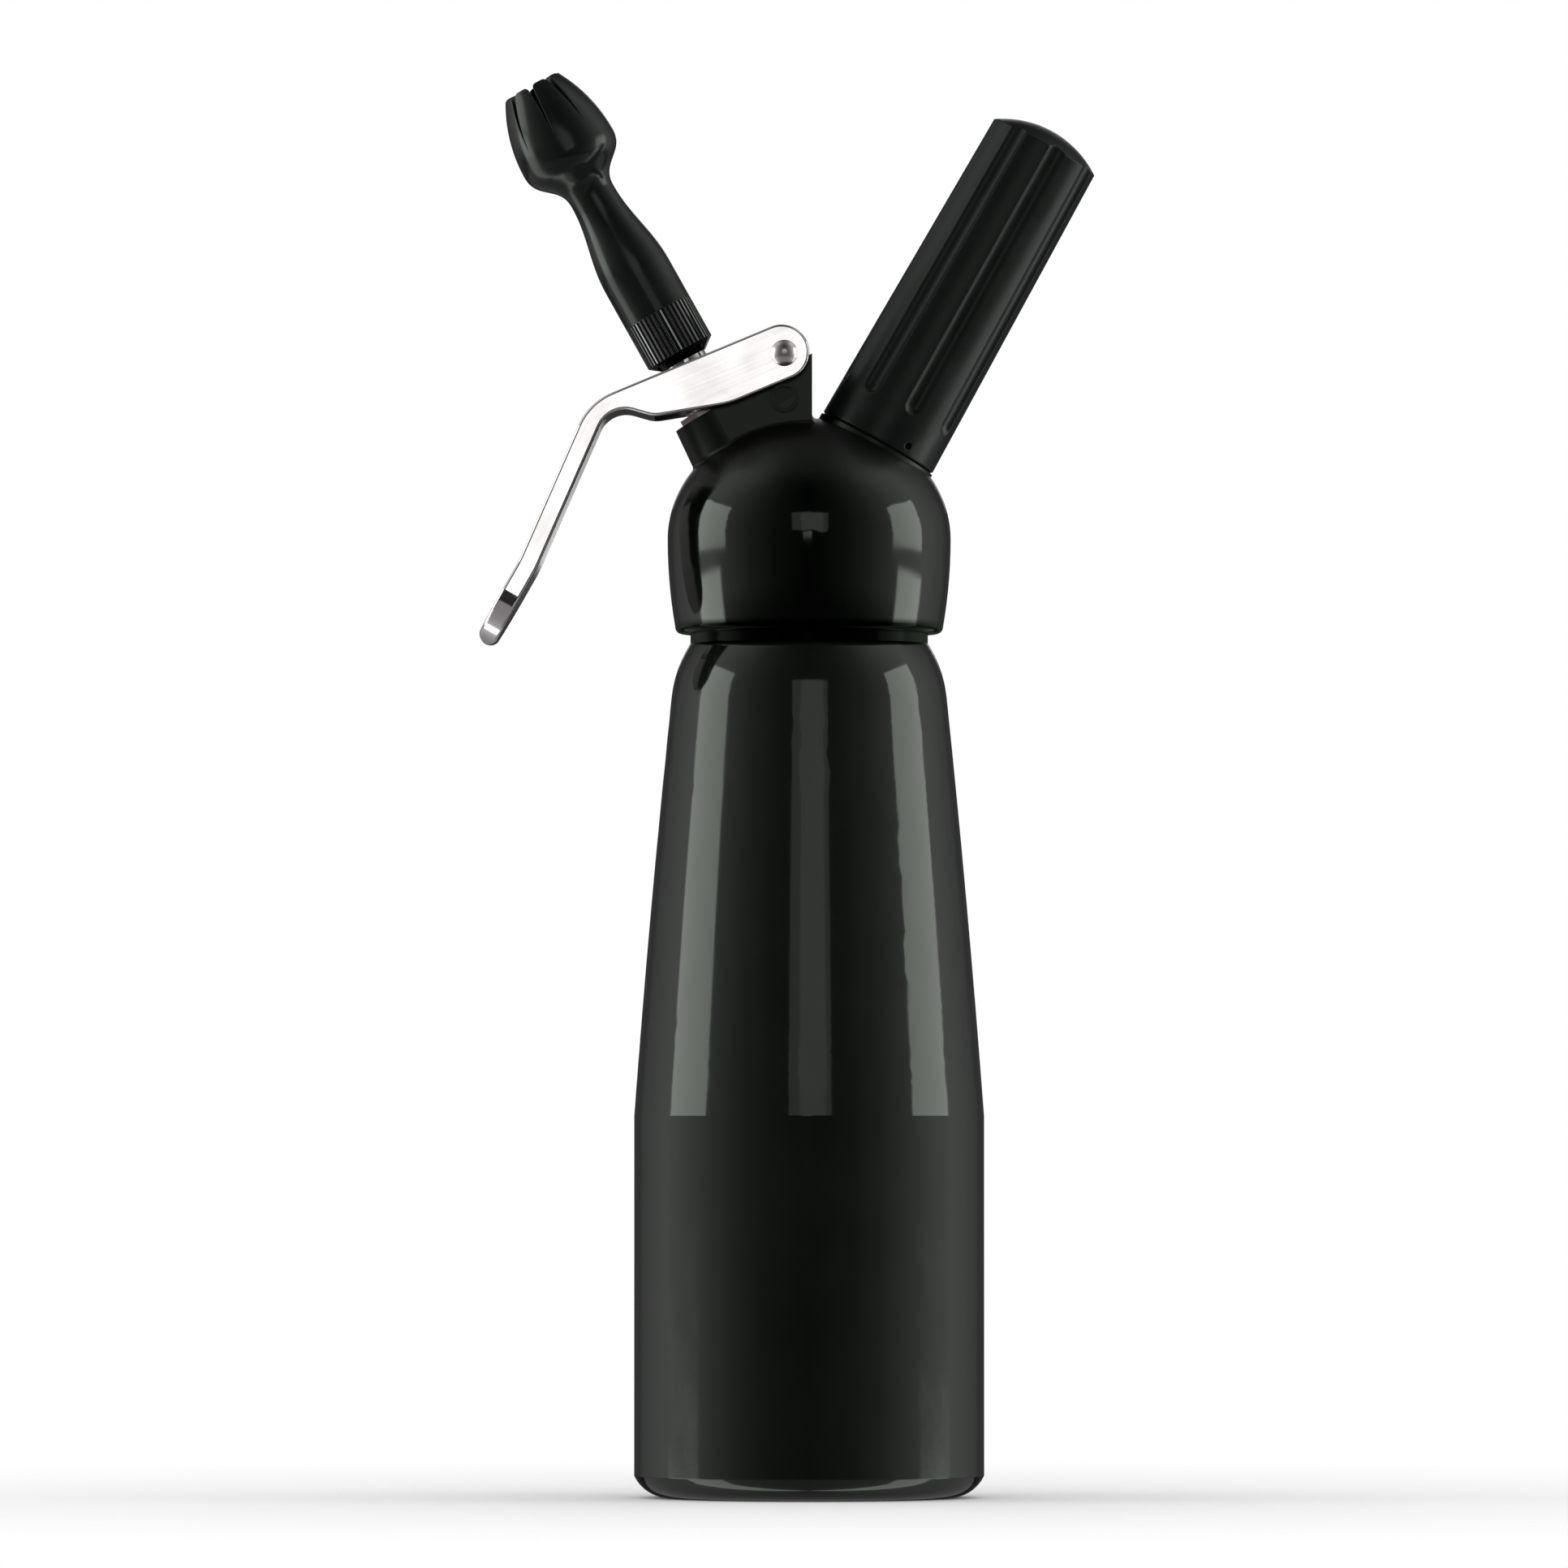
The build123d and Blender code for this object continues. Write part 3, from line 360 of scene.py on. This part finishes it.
def head_lacquer():
    """The lacquer, duller on the dome's top and on what stands out of it, with painted shade at the rim's
    lower edge as near-black metal.
    """
    blacks = ((0.0004, 0.0008, 0.0005), (0.0008, 0.0013, 0.0009))
    material, tree, shader = lacquer("head_lacquer_look", *blacks)
    place = object_place(tree)
    height = split_xyz(tree, place)["Z"]
    centred = vector_node(tree, "SUBTRACT", place, (0, 0, DOME_CENTRE))
    shaped = vector_node(tree, "DIVIDE", centred, (DOME_RADIUS, DOME_RADIUS, DOME_HEIGHT))
    outside = span(tree, vector_length(tree, shaped), STANDS_OUT)
    outside = math_node(tree, "MULTIPLY", span(tree, height, DOME_EDGE), outside)
    uneven = span(tree, noise(tree, place, scale=300), target=(0.2, 0.27))
    top = span(tree, height, DULL_TOP, (0, 0.27))
    dull = math_node(tree, "MAXIMUM", math_node(tree, "MULTIPLY", outside, uneven), top)
    gloss = math_node(tree, "ADD", feeding(shader, "Roughness"), dull)
    # Painted shade: below the rim's edge the near-black lacquer turns metallic, so it reflects almost
    # nothing
    link_look(tree, shader, gloss=gloss, metallic=span(tree, height, RIM_PAINTED_SHADE, (1, 0)))
    return material


def pin_metal():
    """Bright metal with fine brushing along one direction and faint clouding."""
    material, tree, shader = new_material("pin_metal_look", metallic=1.0)
    place = object_place(tree)
    brushed = noise(tree, mapped(tree, place, (60, 2600, 2600)))
    cloud = noise(tree, place, scale=90)
    colour = mixed(tree, span(tree, cloud, (0.3, 0.75)), (0.82, 0.79, 0.78), (0.72, 0.68, 0.67))
    shares = (math_node(tree, "MULTIPLY", brushed, 0.6), math_node(tree, "MULTIPLY", cloud, 0.4))
    gloss = span(tree, math_node(tree, "ADD", *shares), target=(0.24, 0.32))
    link_look(tree, shader, colour, gloss, bumped(tree, brushed, 0.001 * MM, rounded(tree, 0.15 * MM)))
    return material


def lever_metal():
    """Polished forged metal, brushed along the fork and then along the handle."""
    material, tree, shader = new_material("lever_metal_look", metallic=1.0)
    place = object_place(tree)
    grain = (45, 2400, 2400)
    fork = noise(tree, mapped(tree, place, grain, FORK_SLOPE))
    handle = noise(tree, mapped(tree, place, grain, HANDLE_SLOPE))
    past_bend = span(tree, split_xyz(tree, place)["X"], LEVER_BEND, (1, 0))
    brushed = mixed(tree, past_bend, fork, handle, "VALUE")
    cloud = noise(tree, place, scale=70, detail=4)
    colour = mixed(tree, span(tree, cloud, (0.35, 0.7)), (0.93, 0.915, 0.91), (0.86, 0.83, 0.82))
    fine = span(tree, brushed, (0.25, 0.75), (0.07, 0.11))
    coarse = span(tree, cloud, (0.45, 0.8), (0.0, 0.04))
    gloss = math_node(tree, "ADD", fine, coarse)
    link_look(tree, shader, colour, gloss, bumped(tree, brushed, 0.0003 * MM))
    return material


def moulded(name, dark, light, gloss, grain, edge, ior=1.5):
    """Moulded plastic with a fine grain and an uneven sheen and tone."""
    material, tree, shader = new_material(name, specular_tint=PLASTIC_TINT, ior=ior)
    place = object_place(tree)
    cloud = noise(tree, place, scale=110, detail=4)
    fine = noise(tree, place, scale=5200, detail=2)
    colour = mixed(tree, span(tree, cloud), dark, light)
    sheen = span(tree, cloud, target=gloss)
    sheen = math_node(tree, "ADD", sheen, span(tree, fine, target=(-0.03, 0.03)))
    link_look(tree, shader, colour, sheen, bumped(tree, fine, grain, rounded(tree, edge)))
    return material


def collar_plastic():
    """Deep black plastic, the crests of its knurling lighter metal: rubbed wear and a painted highlight for
    their bright lines.
    """
    material, tree, shader = new_material("collar_plastic_look", specular_tint=PLASTIC_TINT, ior=1.25)
    place = object_place(tree)
    from_origin = vector_node(tree, "SUBTRACT", place, VALVE_ORIGIN)
    upright = mapped(tree, from_origin, (1, 1, 1), -VALVE_LEAN)
    crest = span(tree, from_upright(tree, split_xyz(tree, upright)), COLLAR_CREST)
    cloud = span(tree, noise(tree, place, scale=300))
    groove = mixed(tree, cloud, (0.0008, 0.0009, 0.0009), (0.0014, 0.0015, 0.0015))
    # Painted highlight, partly rubbed wear: the crests are lighter metal so they catch bright highlight
    # lines
    rubbed_and_painted_highlight = mixed(tree, cloud, (0.20, 0.21, 0.20), (0.26, 0.27, 0.26))
    colour = mixed(tree, crest, groove, rubbed_and_painted_highlight)
    gloss = span(tree, cloud, (0, 1), (0.05, 0.09))
    link_look(tree, shader, colour, gloss, rounded(tree, 0.08 * MM), crest)
    return material


def turned_metal(name, light, dark, lean, gloss):
    """Machined metal with fine turning rings about a leaning axis."""
    material, tree, shader = new_material(name, metallic=1.0)
    place = object_place(tree)
    rings = noise(tree, mapped(tree, place, (30, 30, 7000), -lean), detail=2)
    cloud = noise(tree, place, scale=160)
    colour = mixed(tree, span(tree, rings), light, dark)
    normal = bumped(tree, rings, 0.003 * MM, rounded(tree, 0.12 * MM))
    link_look(tree, shader, colour, span(tree, cloud, target=gloss), normal)
    return material


def rubber():
    """Matt black seal rubber with a bloom and fine pores."""
    material, tree, shader = new_material("seal_rubber_look", specular_ior_level=0.35)
    place = object_place(tree)
    bloom = noise(tree, place, scale=240, detail=4)
    pores = spots(tree, place, scale=2600)
    colour = mixed(tree, span(tree, bloom, (0.35, 0.7)), (0.012, 0.012, 0.012), (0.035, 0.034, 0.033))
    gloss = span(tree, bloom, target=(0.55, 0.75))
    link_look(tree, shader, colour, gloss, bumped(tree, pores, 0.008 * MM))
    return material


seal = rubber()
stem = turned_metal("stem_steel_look", (0.80, 0.79, 0.81), (0.66, 0.65, 0.67), VALVE_LEAN, (0.10, 0.2))
looks = {
    "bottle": bottle_lacquer(),
    "head": head_lacquer(),
    "lever": lever_metal(),
    "lever_pin": pin_metal(),
    "nozzle_tip": moulded(
        "nozzle_plastic_look",
        (0.0036, 0.0046, 0.0040),
        (0.0052, 0.0063, 0.0056),
        gloss=(0.17, 0.23),
        grain=0.0016 * MM,
        edge=0.25 * MM,
        ior=1.42,
    ),
    "nozzle_collar": collar_plastic(),
    "charger_holder": moulded(
        "holder_plastic_look",
        (0.0030, 0.0042, 0.0034),
        (0.0044, 0.0058, 0.0049),
        gloss=(0.28, 0.35),
        grain=0.005 * MM,
        edge=0.5 * MM,
        ior=1.36,
    ),
    "valve_stem": stem,
    "valve_disc": stem,
    "piercing_pin": turned_metal(
        "pin_steel_look", (0.74, 0.74, 0.75), (0.60, 0.60, 0.62), GAS_LEAN, (0.12, 0.22)
    ),
    "valve_gland": turned_metal(
        "gland_steel_look", (0.34, 0.29, 0.28), (0.25, 0.21, 0.20), VALVE_LEAN, (0.2, 0.3)
    ),
    "valve_bush": moulded(
        "bush_plastic_look",
        (0.70, 0.70, 0.67),
        (0.78, 0.78, 0.75),
        gloss=(0.42, 0.52),
        grain=0.004 * MM,
        edge=0.15 * MM,
    ),
    "gas_adapter": turned_metal(
        "adapter_brass_look", (0.80, 0.62, 0.30), (0.66, 0.49, 0.22), GAS_LEAN, (0.16, 0.3)
    ),
    "charger": turned_metal(
        "charger_steel_look", (0.60, 0.61, 0.63), (0.46, 0.47, 0.49), GAS_LEAN, (0.22, 0.34)
    ),
    "head_gasket": seal,
    "stem_o_ring": seal,
    "valve_disc_seal": seal,
    "nozzle_seal": seal,
    "adapter_o_ring": seal,
    "check_valve_sleeve": seal,
    "charger_gasket": seal,
}
for name, look in looks.items():
    bpy.data.objects[name].data.materials[0] = look


def make_spring():
    """The valve spring, wound along the valve's axis."""
    steps = round(SPRING_STEPS * SPRING_TURNS)
    low = SPRING_BOTTOM + SPRING_WIRE / 2
    high = SPRING_TOP - SPRING_WIRE / 2
    up = leaning(VALVE_LEAN)
    side = leaning(VALVE_LEAN + 90)
    across = up.cross(side)
    centres = []
    for i in range(steps + 1):
        turn = 2 * math.pi * SPRING_TURNS * i / steps
        height = low + (high - low) * i / steps
        out = side * math.cos(turn) + across * math.sin(turn)
        centres.append(VALVE_ORIGIN + up * height * MM + out * SPRING_RADIUS * MM)
    points, faces = [], []
    for i, centre in enumerate(centres):
        ahead = centres[min(i + 1, steps)] - centres[max(i - 1, 0)]
        ahead.normalize()
        out = (centre - VALVE_ORIGIN).cross(ahead).cross(ahead).normalized()
        over = ahead.cross(out)
        for k in range(SPRING_SIDES):
            angle = 2 * math.pi * k / SPRING_SIDES
            spoke = out * math.cos(angle) + over * math.sin(angle)
            points.append(centre + spoke * SPRING_WIRE / 2 * MM)
    for i in range(steps):
        for k in range(SPRING_SIDES):
            a = i * SPRING_SIDES + k
            b = i * SPRING_SIDES + (k + 1) % SPRING_SIDES
            faces.append((a, b, b + SPRING_SIDES, a + SPRING_SIDES))
    faces.append(tuple(range(SPRING_SIDES))[::-1])
    faces.append(tuple(range(steps * SPRING_SIDES, (steps + 1) * SPRING_SIDES)))
    mesh = bpy.data.meshes.new("spring_coil")
    mesh.from_pydata([p[:] for p in points], [], faces)
    mesh.polygons.foreach_set("use_smooth", [len(f) == 4 for f in faces])
    mesh.update()
    steel = ((0.62, 0.62, 0.64), (0.48, 0.48, 0.5))
    mesh.materials.append(turned_metal("spring_steel_look", *steel, VALVE_LEAN, (0.2, 0.32)))
    spring = add_object("spring_coil", mesh)
    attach(spring, "head")
    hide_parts("valve_spring")
    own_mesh(spring)


# Floor, light and camera
def bare_tree(owner):
    """The emptied node tree of a new material or world."""
    owner.use_nodes = True
    owner.node_tree.nodes.clear()
    return owner.node_tree


def mix_shaders(tree, factor, a, b, output):
    """Join a mix of two shaders to a new output."""
    mix = put(tree, "ShaderNodeMixShader")
    join(tree, factor, mix.inputs[0])
    join(tree, a.outputs[0], mix.inputs[1])
    join(tree, b.outputs[0], mix.inputs[2])
    join(tree, mix.outputs[0], put(tree, output).inputs["Surface"])


def make_floor():
    """A pale round floor that fades into the background."""
    points = [(0, 0, 0)]
    for r in range(1, FLOOR_RINGS + 1):
        reach = FLOOR_REACH * r / FLOOR_RINGS
        for s in range(FLOOR_SIDES):
            angle = 2 * math.pi * s / FLOOR_SIDES
            points.append((reach * math.cos(angle), reach * math.sin(angle), 0))
    faces = [(0, 1 + s, 1 + (s + 1) % FLOOR_SIDES) for s in range(FLOOR_SIDES)]
    for r in range(FLOOR_RINGS - 1):
        for s in range(FLOOR_SIDES):
            a = 1 + r * FLOOR_SIDES + s
            b = 1 + r * FLOOR_SIDES + (s + 1) % FLOOR_SIDES
            faces.append((a, a + FLOOR_SIDES, b + FLOOR_SIDES, b))
    mesh = bpy.data.meshes.new("floor")
    mesh.from_pydata(points, [], faces)
    floor = add_object("floor", mesh)
    material = bpy.data.materials.new("floor_look")
    tree = bare_tree(material)
    paper = put(tree, "ShaderNodeBsdfDiffuse")
    paper.inputs["Color"].default_value = FLOOR_TONE
    clear = put(tree, "ShaderNodeBsdfTransparent")
    fade = span(tree, vector_length(tree, object_place(tree)), FLOOR_FADE)
    mix_shaders(tree, fade, paper, clear, "ShaderNodeOutputMaterial")
    mesh.materials.append(material)
    floor.visible_glossy = False


def make_world():
    """White for the camera and for reflections, and a plain soft level of light on the object."""
    world = bpy.data.worlds.new("studio")
    bpy.context.scene.world = world
    tree = bare_tree(world)
    seen = put(tree, "ShaderNodeBackground")
    light = put(tree, "ShaderNodeBackground", strength=WORLD_LEVEL)
    for node in (seen, light):
        node.inputs["Color"].default_value = WORLD_TONE
    rays = put(tree, "ShaderNodeLightPath").outputs
    shown = math_node(tree, "MAXIMUM", rays["Is Camera Ray"], rays["Is Glossy Ray"])
    shown = math_node(tree, "MAXIMUM", shown, rays["Is Transmission Ray"])
    mix_shaders(tree, shown, light, seen, "ShaderNodeOutputWorld")


def make_cards():
    """A closed ring of cards, seen only in reflections: dark in front, pale at the sides, a table below."""
    points, faces = [], []
    for z in (CARD_FOOT, CARD_TOP):
        for s in range(CARD_SIDES):
            angle = 2 * math.pi * s / CARD_SIDES
            points.append((CARD_RADIUS * math.sin(angle), -CARD_RADIUS * math.cos(angle), z))
    for s in range(CARD_SIDES):
        t = (s + 1) % CARD_SIDES
        faces.append((s, t, CARD_SIDES + t, CARD_SIDES + s))
    faces.append(tuple(range(CARD_SIDES, 2 * CARD_SIDES)))
    faces.append(tuple(range(CARD_SIDES)))
    mesh = bpy.data.meshes.new("cards")
    mesh.from_pydata(points, [], faces)
    cards = add_object("cards", mesh)
    material = bpy.data.materials.new("cards_look")
    tree = bare_tree(material)
    xyz = split_xyz(tree, object_place(tree))
    away = from_upright(tree, xyz)
    side = math_node(tree, "ABSOLUTE", xyz["X"])
    front = math_node(tree, "MULTIPLY", xyz["Y"], -1.0)
    angle = math_node(tree, "ARCTAN2", side, front)
    tones = put(tree, "ShaderNodeValToRGB")
    ramp = tones.color_ramp
    for i, (degrees, tone) in enumerate(CARD_TONES):
        stop = ramp.elements[i] if i < 2 else ramp.elements.new(degrees / 180)
        stop.position = degrees / 180
        stop.color = (tone, tone, tone, 1)
    join(tree, math_node(tree, "DIVIDE", angle, math.pi), tones.inputs[0])
    around = tones.outputs["Color"]
    under = span(tree, xyz["Z"], FOOT_EDGE, (1, 0))
    wall = mixed(tree, span(tree, away, LID_EDGE, (1, 0)), around, LID_TONE)
    wall = mixed(tree, under, wall, FOOT_TONE)
    on_table = math_node(tree, "MULTIPLY", under, span(tree, away, TABLE_EDGE, (1, 0)))
    wall = mixed(tree, on_table, wall, mixed(tree, around, TABLE_FRONT_TONE, TABLE_SIDE_TONE))
    across = between(tree, angle, *IMAGE_TURN, IMAGE_TURN_SOFT)
    upright = between(tree, xyz["Z"], *IMAGE_HEIGHTS, IMAGE_HEIGHT_SOFT)
    image = math_node(tree, "MULTIPLY", across, upright)
    glow = put(tree, "ShaderNodeEmission")
    join(tree, mixed(tree, image, wall, IMAGE_TONE), glow.inputs["Color"])
    join(tree, glow.outputs[0], put(tree, "ShaderNodeOutputMaterial").inputs["Surface"])
    mesh.materials.append(material)
    cards.visible_camera = False
    cards.visible_diffuse = False
    cards.visible_shadow = False
    cards.visible_volume_scatter = False


def make_panel(name, place, aim, size, brightness):
    """A soft flat light that reflections can see and the camera can't."""
    light = bpy.data.lights.new(name, "AREA")
    light.shape = "RECTANGLE"
    light.size, light.size_y = size
    light.energy = brightness * LAMP_WATTS * size[0] * size[1]
    panel = add_object(name, light)
    back = (Vector(place) - Vector(aim)).normalized()
    across = Vector((0, 0, 1)).cross(back).normalized()
    over = back.cross(across)
    turn = Matrix((across, over, back)).transposed().to_4x4()
    panel.matrix_world = Matrix.Translation(place) @ turn
    panel.visible_camera = False


def make_lights():
    for side, name in ((-1, "left"), (1, "right")):
        place = (side * SOFTBOX_OUT, -SOFTBOX_FORWARD, SOFTBOX_HEIGHT)
        aim = (0, -SOFTBOX_FORWARD, SOFTBOX_HEIGHT)
        make_panel(f"softbox_{name}", place, aim, SOFTBOX_SIZE, SOFTBOX_BRIGHTNESS)
    for way, name in ((-1, "front"), (1, "back")):
        for kind, (right, away, height, aim_height, size, brightness) in PANELS.items():
            place = (right, way * away, height)
            make_panel(f"{name}_{kind}", place, (right, 0, aim_height), size, brightness)


def make_camera():
    camera = add_object("camera", bpy.data.cameras.new("camera"))
    way = CAMERA_AIM - CAMERA_PLACE
    camera.location = CAMERA_PLACE
    camera.rotation_euler = way.to_track_quat("-Z", "Y").to_euler()
    camera.data.sensor_width = SENSOR_WIDTH
    camera.data.lens = SENSOR_WIDTH * way.length / FRAME_WIDTH
    camera.data.clip_start = CLIP_NEAR
    camera.data.clip_end = CLIP_FAR
    bpy.context.scene.camera = camera


make_spring()
make_floor()
make_world()
make_cards()
make_lights()
make_camera()
bpy.context.scene.view_settings.view_transform = "Standard"
